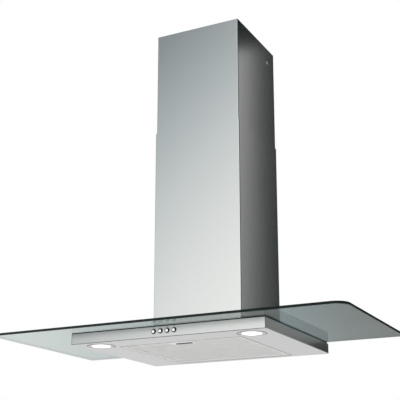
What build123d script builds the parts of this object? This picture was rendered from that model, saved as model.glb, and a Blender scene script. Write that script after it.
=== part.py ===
from build123d import *
import math
import os

os.makedirs("parts", exist_ok=True)

# A wall-mounted chimney hood with a flat glass canopy, in millimetres.
# x runs across the hood, y = 0 is the wall with the room on the -y side, and
# z = 0 is the height of the two holes that hang the blower box on the wall.

# ------------------------------------------------------- driving dimensions
# Sheet metal and seals
sheet = 1.0
chimney_sheet = 0.8
fascia_thickness = 1.5
body_seal_thickness = 2.5
body_seal_width = 14.0
blower_seal_thickness = 1.5
fold_radius = 1.5

# Glass canopy
glass_side_overhang = 199.0
glass_front_overhang = 55.0
glass_thickness = 6.0
glass_wall_gap = 11.0
glass_front_radius = 32.0
glass_rear_radius = 5.0
glass_edge_chamfer = 0.8

# Body under the glass
body_width = 500.0
body_depth = 406.0
body_height = 25.0

# Air inlet cut through the top plate and the glass
inlet_side_margin = 15.0
inlet_end_margin = 36.0
inlet_radius = 15.0
inlet_seal_width = 34.0

# Blower box, which stands inside the chimney, and its two wall holes
box_side_room = 14.2
box_front_room = 20.7
box_height = 250.0
box_flange = 10.0
wall_hole_drop = 35.0
wall_hole_inset = 25.0
wall_hole_radius = 4.0

# Screws that clamp flange, glass and top plate
clamp_screw_radius = 2.0
clamp_screw_head_radius = 4.0
clamp_screw_head_height = 2.4
clamp_nut_radius = 4.0
clamp_nut_height = 3.0
clamp_screw_pitch = 75.0
clamp_hole_clearance = 0.4
clamp_screw_tail = 2.0

# Centrifugal blower
impeller_radius = 55.0
impeller_blade_depth = 9.0
impeller_width = 92.0
impeller_ring_width = 2.5
impeller_blades = 30
impeller_blade_thickness = 1.2
impeller_blade_angle = 35.0
impeller_blade_overrun = 0.45
impeller_disc_thickness = 2.0
impeller_boss_radius = 9.0
impeller_boss_width = 16.0
impeller_height = 114.0
scroll_wall = 2.0
scroll_front_room = 4.0
scroll_side_gap = 4.0
scroll_tongue_gap = 5.0
scroll_growth = 28.0
scroll_tongue_angle = 64.0
scroll_points = 13

# Motor and electrics
shaft_radius = 4.0
shaft_overhang = 12.0
shaft_end_gap = 0.5
shaft_chamfer = 0.6
shaft_running_clearance = 0.05
motor_radius = 32.0
motor_length = 62.0
motor_behind_bracket = 42.0
motor_cap_radius = 12.0
motor_cap_length = 4.0
motor_groove_count = 20
motor_groove_width = 3.0
motor_rim_radius = 3.0
motor_groove_cut = 3.0
motor_groove_start = 8.0
motor_groove_length = 19.0
bracket_thickness = 3.0
bracket_ring_width = 6.0
bracket_arm_width = 10.0
bracket_arms = 3
bracket_arm_turn = 90.0
capacitor_radius = 14.0
capacitor_length = 50.0
capacitor_clip_wall = 1.5
capacitor_clip_height = 12.0
capacitor_clip_foot = 14.0
capacitor_front_room = 3.0
capacitor_drop = 10.0
terminal_box_width = 26.0
terminal_box_depth = 50.0
terminal_box_height = 36.0
terminal_wall = 1.5
gland_radius = 6.0
gland_flange_radius = 8.5
gland_flange_height = 4.0
gland_bore_radius = 3.5
gland_length = 16.0
gland_side_room = 1.0
gland_from_wall = 20.0
terminal_behind_gland = 14.0
terminal_drop = 2.0
screw_slack = 0.2
bracket_screw_radius = 1.5
bracket_screw_head = 3.0
bracket_screw_margin = 5.0
bracket_arm_tip = 6.0

# Duct outlet with its two back-draught flaps
collar_shift = 21.0
collar_flange_width = 12.0
collar_flange_thickness = 3.0
spigot_radius = 75.0
spigot_wall = 2.5
spigot_length = 50.0
ledge_width = 4.5
ledge_height = 2.0
flap_thickness = 1.5
flap_gap = 1.0
flap_axle_radius = 1.6
flap_axle_offset = 2.5
flap_axle_grip = 1.4
flap_rest_gap = 0.3
collar_screw_radius = 1.8
collar_screw_head = 3.4
collar_screw_inset = 6.0
collar_screws_used = 4
collar_screw_turn = 45.0

# Chimney, a fixed lower cover and a sliding upper one
chimney_width = 240.0
chimney_depth = 243.5
chimney_bend = 2.0
chimney_return = 12.0
lower_chimney_height = 537.5
chimney_gap = 1.2
upper_back_gap = 1.5
upper_chimney_length = 510.0
hood_height = 850.0
vent_count = 6
vent_width = 3.0
vent_length = 40.0
vent_pitch = 14.0
vent_above_end = 15.0
clip_width = 20.0
clip_height = 30.0
clip_above_box = 65.0

# Wall bracket of the upper chimney
upper_bracket_drop = 40.0
upper_bracket_height = 30.0
upper_bracket_sheet = 1.5
upper_bracket_plate = 200.0
upper_bracket_stand = 30.0
upper_bracket_arm = 30.0
upper_screw_radius = 2.0
upper_screw_head = 4.0
upper_screw_head_height = 1.6

# Grease filter
filter_opening_width = 320.0
filter_opening_depth = 304.5
filter_rear_strip = 27.0
filter_gap = 2.0
filter_rear_gap = 3.0
filter_height = 9.0
filter_lift = 0.2
filter_shell = 1.0
filter_border = 6.0
filter_rear_border = 11.0
filter_mesh_clearance = 0.2
filter_hinge_height = 1.8
tongue_width = 30.0
tongue_spacing = 220.0
tongue_overlap = 7.0
tongue_bead_radius = 0.6
tongue_bead_setback = 0.5
handle_plate_width = 60.0
handle_plate_depth = 32.0
handle_slot_width = 42.0
handle_slot_depth = 5.5
handle_slot_from_front = 24.5
latch_width = 24.0
latch_thickness = 1.4
latch_overlap = 3.0
latch_tab_width = 34.0
latch_tab_thickness = 1.2
latch_play = 0.3
latch_lift = 0.5

# Control buttons
button_radius = 6.0
button_pitch = 17.6
button_height = 14.5
button_stand = 4.0
button_body = 8.0
button_round = 3.0
button_travel = 2.5
button_clearance = 0.3
button_stem_radius = 3.0
button_stem_length = 15.0
stem_clearance = 0.1
button_stop_gap = 0.5
switch_margin = 9.0
switch_window_drop = 8.4
switch_depth = 20.0
switch_lift = 2.0
button_names = ["light", "low", "medium", "high"]

# Lamps
lamp_from_side = 53.0
lamp_from_front = 48.0
lamp_radius = 32.5
lamp_hole_gap = 0.5
lamp_stand = 0.6
lamp_cover_thickness = 2.0
lamp_lens_radius = 24.5
lamp_lens_lip = 1.5
lamp_lens_crown = 1.2
lamp_notch_width = 7.0
lamp_notch_depth = 3.0
lamp_clip_count = 3
lamp_clip_width = 8.0
lamp_clip_height = 10.0
lamp_clip_inset = 1.2
lamp_cup_wall = 1.0
lamp_cup_flange = 4.0
lamp_cup_gap = 2.0
bulb_radius = 5.0
bulb_length = 26.0
bulb_neck_step = 1.0
bulb_tip_radius = 2.5
bulb_base_width = 12.0
bulb_base_length = 14.0
bulb_base_height = 8.0

# ------------------------------------------------------- derived positions
box_top = wall_hole_drop
box_bottom = box_top - box_height
glass_top = box_bottom - blower_seal_thickness
glass_bottom = glass_top - glass_thickness
plate_top = glass_bottom - body_seal_thickness
plate_bottom = plate_top - sheet
underside = plate_top - body_height
floor_top = underside + sheet

body_front = -body_depth
pan_front = body_front + fascia_thickness
glass_rear = -glass_wall_gap
glass_front = body_front - glass_front_overhang
glass_half = body_width / 2 + glass_side_overhang

box_width = chimney_width - 2 * (chimney_sheet + box_side_room)
box_depth = chimney_depth - chimney_sheet - box_front_room
inlet_width = box_width - 2 * inlet_side_margin
inlet_depth = box_depth - 2 * inlet_end_margin
inlet_y = -box_depth / 2
wall_hole_spacing = box_width - 2 * wall_hole_inset

scroll_start_radius = impeller_radius + scroll_tongue_gap
scroll_front_radius = scroll_start_radius + scroll_growth / 2 + scroll_wall
impeller_y = -box_depth + sheet + scroll_front_room + scroll_front_radius
impeller_z = box_bottom + impeller_height
impeller_eye_radius = impeller_radius - impeller_blade_depth
bracket_screw_orbit = impeller_eye_radius + bracket_screw_margin
tongue_reach = scroll_start_radius * math.cos(math.radians(scroll_tongue_angle))
throat_front = impeller_y + tongue_reach
throat_rear = impeller_y + scroll_start_radius + scroll_growth
scroll_half = impeller_width / 2 + scroll_side_gap

chimney_half = chimney_width / 2
upper_half = chimney_half - chimney_sheet - chimney_gap
upper_front = -chimney_depth + chimney_sheet + chimney_gap
upper_top = underside + hood_height
upper_bottom = upper_top - upper_chimney_length

filter_opening_rear = -filter_rear_strip
filter_opening_front = filter_opening_rear - filter_opening_depth
filter_rear = filter_opening_rear - filter_rear_gap
filter_front = filter_opening_front + filter_gap
filter_half = filter_opening_width / 2 - filter_gap
filter_bottom = underside + filter_lift
filter_top = underside + filter_height
handle_y = filter_front + handle_slot_from_front

collar_y = (throat_front + throat_rear) / 2 - collar_shift
collar_top = box_top + collar_flange_thickness
spigot_top = box_top + spigot_length + collar_flange_thickness
spigot_inner = spigot_radius - spigot_wall
ledge_top = collar_top + ledge_height
flap_axle_z = ledge_top + flap_rest_gap + flap_thickness / 2


# ------------------------------------------------------- shape helpers
def block(x, y, z, mode=Mode.ADD):
    """Add or cut a box between (low, high) values along x, y and z."""
    middle = ((x[0] + x[1]) / 2, (y[0] + y[1]) / 2, (z[0] + z[1]) / 2)
    with Locations(middle):
        Box(x[1] - x[0], y[1] - y[0], z[1] - z[0], mode=mode)


def rod(direction, start, radius, length, mode=Mode.ADD):
    """Add or cut a cylinder that starts at a point and runs along +X, +Y or +Z."""
    turns = {"X": (0, 90, 0), "Y": (-90, 0, 0), "Z": (0, 0, 0)}
    with Locations(start):
        Cylinder(
            radius,
            length,
            rotation=turns[direction],
            align=(Align.CENTER, Align.CENTER, Align.MIN),
            mode=mode,
        )


def save(piece, label):
    """Name a finished piece and write it to its own file."""
    piece.part.label = label
    export_step(piece.part, f"parts/{label}.step")


# ------------------------------------------------------- body under the glass
# Folded pan: the underside, both flanks, the back and an inner front wall.
button_middle = (len(button_names) - 1) / 2
button_xs = [(i - button_middle) * button_pitch for i in range(len(button_names))]
button_z = underside + button_height
switch_half = button_xs[-1] + switch_margin
lamp_x = body_width / 2 - lamp_from_side
lamp_y = body_front + lamp_from_front
lamp_hole_radius = lamp_radius + lamp_hole_gap

with BuildPart() as body_pan:
    block((-body_width / 2, body_width / 2), (pan_front, 0), (underside, plate_bottom))
    back_edges = body_pan.edges().filter_by(Axis.Z).group_by(Axis.Y)[-1]
    low_edges = body_pan.faces().sort_by(Axis.Z)[0].edges().filter_by(Axis.Y)
    fillet(back_edges + low_edges, fold_radius)
    block(
        (-body_width / 2 + sheet, body_width / 2 - sheet),
        (pan_front + sheet, -sheet),
        (floor_top, plate_bottom),
        Mode.SUBTRACT,
    )
    block(
        (-filter_opening_width / 2, filter_opening_width / 2),
        (filter_opening_front, filter_opening_rear),
        (underside, floor_top),
        Mode.SUBTRACT,
    )
    for side in (-1, 1):
        rod("Z", (side * lamp_x, lamp_y, underside), lamp_hole_radius, sheet, Mode.SUBTRACT)
    block(
        (-switch_half, switch_half),
        (pan_front, pan_front + sheet),
        (button_z - switch_window_drop, plate_bottom),
        Mode.SUBTRACT,
    )
save(body_pan, "body_pan")

# Front plate with the four button holes.
with BuildPart() as front_fascia:
    block((-body_width / 2, body_width / 2), (body_front, pan_front), (underside, plate_top))
    for x in button_xs:
        rod("Y", (x, body_front, button_z), button_radius + button_clearance, fascia_thickness, Mode.SUBTRACT)
save(front_fascia, "front_fascia")

# Where the clamp screws go down through the flange, the glass and the top plate.
clamp_x = box_width / 2 + box_flange / 2
clamp_points = []
for side in (-1, 1):
    for step in (-1, 0, 1):
        clamp_points.append((side * clamp_x, inlet_y + step * clamp_screw_pitch))
clamp_hole_radius = clamp_screw_radius + clamp_hole_clearance


def clamp_holes(bottom, height):
    """Cut the clamp screw holes through one layer."""
    for x, y in clamp_points:
        rod("Z", (x, y, bottom), clamp_hole_radius, height, Mode.SUBTRACT)


def inlet_hole(bottom, height):
    """Cut the rounded air inlet through one layer."""
    with BuildSketch(Plane.XY.offset(bottom)) as outline:
        with Locations((0, inlet_y)):
            RectangleRounded(inlet_width, inlet_depth, inlet_radius)
    extrude(outline.sketch, amount=height, mode=Mode.SUBTRACT)


with BuildPart() as body_top_plate:
    block((-body_width / 2, body_width / 2), (pan_front, 0), (plate_bottom, plate_top))
    inlet_hole(plate_bottom, sheet)
    clamp_holes(plate_bottom, sheet)
save(body_top_plate, "body_top_plate")

# Black rubber strip between the body's rim and the glass.
with BuildPart() as body_seal:
    block((-body_width / 2, body_width / 2), (body_front, glass_rear), (plate_top, glass_bottom))
    block(
        (-body_width / 2 + body_seal_width, body_width / 2 - body_seal_width),
        (body_front + body_seal_width, glass_rear - body_seal_width),
        (plate_top, glass_bottom),
        Mode.SUBTRACT,
    )
save(body_seal, "body_seal")

# Foam ring round the air inlet, between the top plate and the glass.
with BuildPart() as inlet_seal:
    block(
        (-inlet_width / 2 - inlet_seal_width, inlet_width / 2 + inlet_seal_width),
        (inlet_y - inlet_depth / 2 - inlet_seal_width, inlet_y + inlet_depth / 2 + body_seal_width / 2),
        (plate_top, glass_bottom),
    )
    inlet_hole(plate_top, body_seal_thickness)
    clamp_holes(plate_top, body_seal_thickness)
save(inlet_seal, "inlet_seal")

# ------------------------------------------------------- glass canopy
with BuildPart() as glass_panel:
    block((-glass_half, glass_half), (glass_front, glass_rear), (glass_bottom, glass_top))
    upright = glass_panel.edges().filter_by(Axis.Z)
    fillet(upright.group_by(Axis.Y)[0], glass_front_radius)
    fillet(glass_panel.edges().filter_by(Axis.Z).group_by(Axis.Y)[-1], glass_rear_radius)
    rims = glass_panel.faces().filter_by(Axis.Z).edges()
    chamfer(rims, glass_edge_chamfer)
    inlet_hole(glass_bottom, glass_thickness)
    clamp_holes(glass_bottom, glass_thickness)
save(glass_panel, "glass_panel")

# Foam ring between the glass and the blower box's flange.
with BuildPart() as blower_seal:
    block(
        (-box_width / 2 - box_flange, box_width / 2 + box_flange),
        (-box_depth - box_flange, glass_rear),
        (glass_top, box_bottom),
    )
    inlet_hole(glass_top, blower_seal_thickness)
    clamp_holes(glass_top, blower_seal_thickness)
save(blower_seal, "blower_seal")

# ------------------------------------------------------- blower box
gland_x = box_width / 2 - sheet - gland_flange_radius - gland_side_room
gland_y = -gland_from_wall

with BuildPart() as blower_box:
    block((-box_width / 2, box_width / 2), (-box_depth, 0), (box_bottom, box_top))
    block(
        (-box_width / 2 - box_flange, box_width / 2 + box_flange),
        (-box_depth - box_flange, glass_rear),
        (box_bottom, box_bottom + sheet),
    )
    block(
        (-box_width / 2 + sheet, box_width / 2 - sheet),
        (-box_depth + sheet, -sheet),
        (box_bottom, box_top - sheet),
        Mode.SUBTRACT,
    )
    clamp_holes(box_bottom, sheet)
    block(
        (-scroll_half - scroll_wall, scroll_half + scroll_wall),
        (throat_front - scroll_wall, throat_rear + scroll_wall),
        (box_top - sheet, box_top),
        Mode.SUBTRACT,
    )
    rod("Z", (gland_x, gland_y, box_top - sheet), gland_radius, sheet, Mode.SUBTRACT)
    for side in (-1, 1):
        rod("Y", (side * wall_hole_spacing / 2, -sheet, 0), wall_hole_radius, sheet, Mode.SUBTRACT)
save(blower_box, "blower_box")

with BuildPart() as clamp_screws:
    for x, y in clamp_points:
        rod("Z", (x, y, box_bottom + sheet), clamp_screw_head_radius, clamp_screw_head_height)
        shank_bottom = plate_bottom - clamp_nut_height - clamp_screw_tail
        rod("Z", (x, y, shank_bottom), clamp_screw_radius, box_bottom + sheet - shank_bottom)
save(clamp_screws, "clamp_screws")

with BuildPart() as clamp_nuts:
    for x, y in clamp_points:
        with BuildSketch(Plane.XY.offset(plate_bottom - clamp_nut_height)):
            with Locations((x, y)):
                RegularPolygon(clamp_nut_radius, 6)
                Circle(clamp_screw_radius, mode=Mode.SUBTRACT)
        extrude(amount=clamp_nut_height)
save(clamp_nuts, "clamp_nuts")


# ------------------------------------------------------- scroll casing
def scroll_face(plane, grow):
    """Spiral round the impeller joined to its upright throat, grown outwards all round."""
    points = []
    for i in range(scroll_points):
        share = i / (scroll_points - 1)
        angle = math.tau * share
        radius = scroll_start_radius + share * scroll_growth + grow
        points.append((impeller_y + radius * math.cos(angle), impeller_z + radius * math.sin(angle)))
    front = throat_front - grow
    rear = throat_rear + grow
    with BuildSketch(plane) as outline:
        with BuildLine():
            Spline(points, tangents=((0, 1), (0, 1)))
            Line(points[-1], points[0])
        make_face()
        with Locations(((front + rear) / 2, (impeller_z + box_top) / 2)):
            Rectangle(rear - front, box_top - impeller_z)
    return outline.sketch


def scroll_half_shell(side):
    """One moulded half: a side cheek with its inlet and half of the wrap."""
    cheek_plane = Plane.YZ.offset(0 if side > 0 else -scroll_half - scroll_wall)
    hollow_plane = Plane.YZ.offset(0 if side > 0 else -scroll_half)
    with BuildPart() as shell:
        extrude(scroll_face(cheek_plane, scroll_wall), amount=scroll_half + scroll_wall)
        extrude(scroll_face(hollow_plane, 0), amount=scroll_half, mode=Mode.SUBTRACT)
        inlet_start = scroll_half if side > 0 else -scroll_half - scroll_wall
        rod("X", (inlet_start, impeller_y, impeller_z), impeller_eye_radius, scroll_wall, Mode.SUBTRACT)
        if side < 0:
            for y, z in bracket_screw_points:
                rod("X", (inlet_start, y, z), bracket_screw_radius + screw_slack, scroll_wall, Mode.SUBTRACT)
    return shell


bracket_screw_points = []
for i in range(bracket_arms):
    angle = math.radians(bracket_arm_turn + i * 360 / bracket_arms)
    y = impeller_y + bracket_screw_orbit * math.cos(angle)
    z = impeller_z + bracket_screw_orbit * math.sin(angle)
    bracket_screw_points.append((y, z))

for label, side in (("scroll_left", -1), ("scroll_right", 1)):
    save(scroll_half_shell(side), label)

# Blower wheel: two rows of blades on a shared disc, tied by a ring at each end.
blade_middle = (impeller_radius + impeller_eye_radius) / 2
blade_chord = impeller_radius - impeller_eye_radius + impeller_blade_overrun


def blade_row(start, end, ring_start):
    """One row of blades between the disc and its tie ring at the open end."""
    with BuildPart() as row:
        with BuildSketch(Plane.YZ.offset(start)) as blades:
            with Locations((impeller_y, impeller_z)):
                with PolarLocations(blade_middle, impeller_blades):
                    Rectangle(blade_chord, impeller_blade_thickness, rotation=impeller_blade_angle)
        extrude(blades.sketch, amount=end - start)
        with BuildSketch(Plane.YZ.offset(ring_start)) as ring:
            with Locations((impeller_y, impeller_z)):
                Circle(impeller_radius)
                Circle(impeller_eye_radius, mode=Mode.SUBTRACT)
        extrude(ring.sketch, amount=impeller_ring_width)
    return row


disc_half = impeller_disc_thickness / 2
blade_end = impeller_width / 2
save(blade_row(-blade_end, -disc_half, -blade_end), "impeller_left")
save(blade_row(disc_half, blade_end, blade_end - impeller_ring_width), "impeller_right")

with BuildPart() as impeller_disc:
    boss_start = (-impeller_boss_width / 2, impeller_y, impeller_z)
    rod("X", (-disc_half, impeller_y, impeller_z), impeller_radius, impeller_disc_thickness)
    rod("X", boss_start, impeller_boss_radius, impeller_boss_width)
    rod("X", boss_start, shaft_radius, impeller_boss_width, Mode.SUBTRACT)
save(impeller_disc, "impeller_disc")

# ------------------------------------------------------- motor and electrics
bracket_start = -scroll_half - scroll_wall - bracket_thickness
motor_start = bracket_start - motor_behind_bracket
motor_end = motor_start + motor_length
shaft_start = motor_start + motor_cap_length
shaft_end = impeller_boss_width / 2 + shaft_overhang

with BuildPart() as motor_shaft:
    shaft_length = shaft_end - shaft_start - shaft_end_gap
    rod("X", (shaft_start + shaft_end_gap, impeller_y, impeller_z), shaft_radius, shaft_length)
    chamfer(motor_shaft.edges().filter_by(GeomType.CIRCLE), shaft_chamfer)
save(motor_shaft, "motor_shaft")

with BuildPart() as motor_body:
    rod("X", (motor_start, impeller_y, impeller_z), motor_radius, motor_length)
    fillet(motor_body.edges().filter_by(GeomType.CIRCLE), motor_rim_radius)
    with BuildSketch(Plane.YZ.offset(motor_start + motor_groove_start)):
        with Locations((impeller_y, impeller_z)):
            with PolarLocations(motor_radius, motor_groove_count):
                Rectangle(motor_groove_cut, motor_groove_width)
    extrude(amount=motor_groove_length, mode=Mode.SUBTRACT)
    rod("X", (motor_end, impeller_y, impeller_z), motor_cap_radius, motor_cap_length)
    rod(
        "X",
        (shaft_start, impeller_y, impeller_z),
        shaft_radius + shaft_running_clearance,
        motor_end + motor_cap_length - shaft_start,
        Mode.SUBTRACT,
    )
save(motor_body, "motor_body")

bracket_ring = motor_radius + bracket_ring_width
bracket_arm_root = motor_radius + bracket_ring_width / 2
bracket_arm_end = bracket_screw_orbit + bracket_arm_tip
bracket_arm_orbit = (bracket_arm_root + bracket_arm_end) / 2
with BuildPart() as motor_bracket:
    with BuildSketch(Plane.YZ.offset(bracket_start)):
        with Locations((impeller_y, impeller_z)):
            Circle(bracket_ring)
            with PolarLocations(bracket_arm_orbit, bracket_arms, bracket_arm_turn):
                Rectangle(bracket_arm_end - bracket_arm_root, bracket_arm_width)
            Circle(motor_radius, mode=Mode.SUBTRACT)
    extrude(amount=bracket_thickness)
    for y, z in bracket_screw_points:
        rod("X", (bracket_start, y, z), bracket_screw_radius + screw_slack, bracket_thickness, Mode.SUBTRACT)
save(motor_bracket, "motor_bracket")

with BuildPart() as bracket_screws:
    for y, z in bracket_screw_points:
        rod("X", (bracket_start, y, z), bracket_screw_radius, bracket_thickness + scroll_wall)
        rod("X", (bracket_start - bracket_screw_radius, y, z), bracket_screw_head, bracket_screw_radius)
save(bracket_screws, "bracket_screws")

capacitor_x = box_width / 2 - sheet - capacitor_radius - capacitor_clip_wall
capacitor_y = -box_depth + sheet + capacitor_radius + capacitor_clip_wall + capacitor_front_room
capacitor_bottom = box_top - sheet - capacitor_length - capacitor_drop
with BuildPart() as capacitor:
    rod("Z", (capacitor_x, capacitor_y, capacitor_bottom), capacitor_radius, capacitor_length)
    fillet(capacitor.edges().filter_by(GeomType.CIRCLE), sheet)
save(capacitor, "capacitor")

with BuildPart() as capacitor_clip:
    clip_bottom = capacitor_bottom + capacitor_length / 2
    clip_radius = capacitor_radius + capacitor_clip_wall
    rod("Z", (capacitor_x, capacitor_y, clip_bottom), clip_radius, capacitor_clip_height)
    block(
        (capacitor_x, box_width / 2 - sheet),
        (capacitor_y - capacitor_clip_foot / 2, capacitor_y + capacitor_clip_foot / 2),
        (clip_bottom, clip_bottom + capacitor_clip_height),
    )
    rod(
        "Z",
        (capacitor_x, capacitor_y, clip_bottom),
        capacitor_radius,
        capacitor_clip_height,
        Mode.SUBTRACT,
    )
save(capacitor_clip, "capacitor_clip")

terminal_right = box_width / 2 - sheet
terminal_left = terminal_right - terminal_box_width
terminal_rear = gland_y + terminal_behind_gland
terminal_front = terminal_rear - terminal_box_depth
terminal_top = box_top - gland_length - terminal_drop
terminal_bottom = terminal_top - terminal_box_height
with BuildPart() as terminal_box:
    block((terminal_left, terminal_right), (terminal_front, terminal_rear), (terminal_bottom, terminal_top))
    block(
        (terminal_left, terminal_right - terminal_wall),
        (terminal_front + terminal_wall, terminal_rear - terminal_wall),
        (terminal_bottom + terminal_wall, terminal_top - terminal_wall),
        Mode.SUBTRACT,
    )
    rod(
        "Z",
        (gland_x, gland_y, terminal_top - terminal_wall),
        gland_bore_radius,
        terminal_wall,
        Mode.SUBTRACT,
    )
save(terminal_box, "terminal_box")

with BuildPart() as terminal_lid:
    block(
        (terminal_left - terminal_wall, terminal_left),
        (terminal_front, terminal_rear),
        (terminal_bottom, terminal_top),
    )
save(terminal_lid, "terminal_lid")

with BuildPart() as cable_gland:
    gland_bottom = box_top - gland_length
    rod("Z", (gland_x, gland_y, gland_bottom), gland_radius, gland_length + gland_flange_height)
    rod("Z", (gland_x, gland_y, box_top), gland_flange_radius, gland_flange_height)
    rod(
        "Z",
        (gland_x, gland_y, gland_bottom),
        gland_bore_radius,
        gland_length + gland_flange_height,
        Mode.SUBTRACT,
    )
save(cable_gland, "cable_gland")

# ------------------------------------------------------- duct outlet
axle_y = {"front": collar_y - flap_axle_offset, "rear": collar_y + flap_axle_offset}
axle_reach = math.sqrt(spigot_inner**2 - flap_axle_offset**2) + flap_axle_grip
collar_flange_radius = spigot_radius + collar_flange_width
screw_points = []
for i in range(collar_screws_used):
    angle = math.radians(collar_screw_turn + i * 360 / collar_screws_used)
    reach = collar_flange_radius - collar_screw_inset
    screw_points.append((reach * math.cos(angle), collar_y + reach * math.sin(angle)))

with BuildPart() as outlet_collar:
    rod("Z", (0, collar_y, box_top), collar_flange_radius, collar_flange_thickness)
    rod("Z", (0, collar_y, box_top), spigot_radius, spigot_top - box_top)
    rod("Z", (0, collar_y, box_top), spigot_inner, spigot_top - box_top, Mode.SUBTRACT)
    with BuildSketch(Plane.XY.offset(collar_top)):
        with Locations((0, collar_y)):
            Circle(spigot_inner)
            Circle(spigot_inner - ledge_width, mode=Mode.SUBTRACT)
    extrude(amount=ledge_height)
    for y in axle_y.values():
        rod(
            "X",
            (-axle_reach, y, flap_axle_z),
            flap_axle_radius + shaft_running_clearance,
            2 * axle_reach,
            Mode.SUBTRACT,
        )
    for x, y in screw_points:
        rod("Z", (x, y, box_top), collar_screw_radius, collar_flange_thickness, Mode.SUBTRACT)
save(outlet_collar, "outlet_collar")

with BuildPart() as collar_screws:
    for x, y in screw_points:
        rod("Z", (x, y, box_top), collar_screw_radius, collar_flange_thickness)
        rod("Z", (x, y, collar_top), collar_screw_head, collar_screw_radius)
save(collar_screws, "collar_screws")


def flap(name, side):
    """Half-disc flap with its axle moulded along the straight edge."""
    radius = spigot_inner - flap_gap
    axle = axle_y[name]
    with BuildPart() as leaf:
        with BuildSketch(Plane.XY.offset(flap_axle_z - flap_thickness / 2)):
            with Locations((0, collar_y)):
                Circle(radius)
            with Locations((0, axle - side * radius)):
                Rectangle(2 * spigot_radius, 2 * radius, mode=Mode.SUBTRACT)
        extrude(amount=flap_thickness)
        reach = axle_reach - flap_rest_gap
        rod("X", (-reach, axle, flap_axle_z), flap_axle_radius, 2 * reach)
    return leaf


save(flap("front", -1), "flap_front")
save(flap("rear", 1), "flap_rear")


# ------------------------------------------------------- chimney
def chimney_cover(half, front, back, bottom, height):
    """Sheet cover, open top and bottom, folded at the back into two returns."""
    with BuildPart() as cover:
        block((-half, half), (front, back), (bottom, bottom + height))
        fillet(cover.edges().filter_by(Axis.Z).group_by(Axis.Y)[0], chimney_bend)
        inner = half - chimney_sheet
        with BuildSketch(Plane.XY.offset(bottom)) as hollow:
            with Locations((0, (front + back) / 2)):
                RectangleRounded(2 * inner, back - front - 2 * chimney_sheet, chimney_bend - chimney_sheet)
        extrude(hollow.sketch, amount=height, mode=Mode.SUBTRACT)
        gap = half - chimney_return
        block((-gap, gap), (back - chimney_sheet, back), (bottom, bottom + height), Mode.SUBTRACT)
    return cover


save(chimney_cover(chimney_half, -chimney_depth, 0, glass_top, lower_chimney_height), "lower_chimney")

upper_back = -upper_back_gap
bare_upper = chimney_cover(upper_half, upper_front, upper_back, upper_bottom, upper_chimney_length)
upper_middle = (upper_front + upper_back) / 2
upper_bracket_z = upper_top - upper_bracket_drop
with BuildPart() as upper_chimney:
    add(bare_upper.part)
    vent_middle = upper_bottom + vent_above_end + vent_length / 2
    for side in (-1, 1):
        for i in range(vent_count):
            y = upper_middle + (i - (vent_count - 1) / 2) * vent_pitch
            block(
                (side * upper_half - chimney_sheet, side * upper_half + chimney_sheet),
                (y - vent_width / 2, y + vent_width / 2),
                (vent_middle - vent_length / 2, vent_middle + vent_length / 2),
                Mode.SUBTRACT,
            )
        arm_y = -upper_bracket_stand - upper_bracket_arm / 2
        start = side * upper_half - chimney_sheet
        rod("X", (start, arm_y, upper_bracket_z), upper_screw_radius, 2 * chimney_sheet, Mode.SUBTRACT)
save(upper_chimney, "upper_chimney")

# Spring clips that brace the lower cover on the blower box.
clip_bottom_z = box_bottom + clip_above_box
with BuildPart() as chimney_clips:
    for side in (-1, 1):
        inner = side * box_width / 2
        outer = side * (chimney_half - chimney_sheet)
        low, high = sorted((inner, outer))
        span = (low, high)
        y_span = (inlet_y - clip_width / 2, inlet_y + clip_width / 2)
        block(span, y_span, (clip_bottom_z, clip_bottom_z + clip_height))
        hollow = (low + sheet, high - sheet)
        block(hollow, y_span, (clip_bottom_z + sheet, clip_bottom_z + clip_height), Mode.SUBTRACT)
save(chimney_clips, "chimney_clips")

# Bent strap on the wall that holds the top of the upper cover.
strap = upper_bracket_sheet
strap_inner = upper_half - chimney_sheet
with BuildPart() as upper_bracket:
    plate_half = upper_bracket_plate / 2
    z_span = (upper_bracket_z - upper_bracket_height / 2, upper_bracket_z + upper_bracket_height / 2)
    block((-plate_half, plate_half), (-strap, 0), z_span)
    for side in (-1, 1):
        web = sorted((side * (plate_half - strap), side * plate_half))
        ear = sorted((side * (plate_half - strap), side * strap_inner))
        arm = sorted((side * (strap_inner - strap), side * strap_inner))
        block(web, (-upper_bracket_stand, 0), z_span)
        block(ear, (-upper_bracket_stand, -upper_bracket_stand + strap), z_span)
        block(arm, (-upper_bracket_stand - upper_bracket_arm, -upper_bracket_stand + strap), z_span)
        hole_x = side * wall_hole_spacing / 2
        rod("Y", (hole_x, -strap, upper_bracket_z), wall_hole_radius, strap, Mode.SUBTRACT)
        start = side * strap_inner - (strap if side > 0 else 0)
        rod("X", (start, arm_y, upper_bracket_z), upper_screw_radius, strap, Mode.SUBTRACT)
save(upper_bracket, "upper_bracket")

with BuildPart() as upper_screws:
    for side in (-1, 1):
        shank = sorted((side * (strap_inner - strap), side * upper_half))
        head = sorted((side * upper_half, side * (upper_half + upper_screw_head_height)))
        rod("X", (shank[0], arm_y, upper_bracket_z), upper_screw_radius, shank[1] - shank[0])
        rod("X", (head[0], arm_y, upper_bracket_z), upper_screw_head, head[1] - head[0])
save(upper_screws, "upper_screws")

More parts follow.
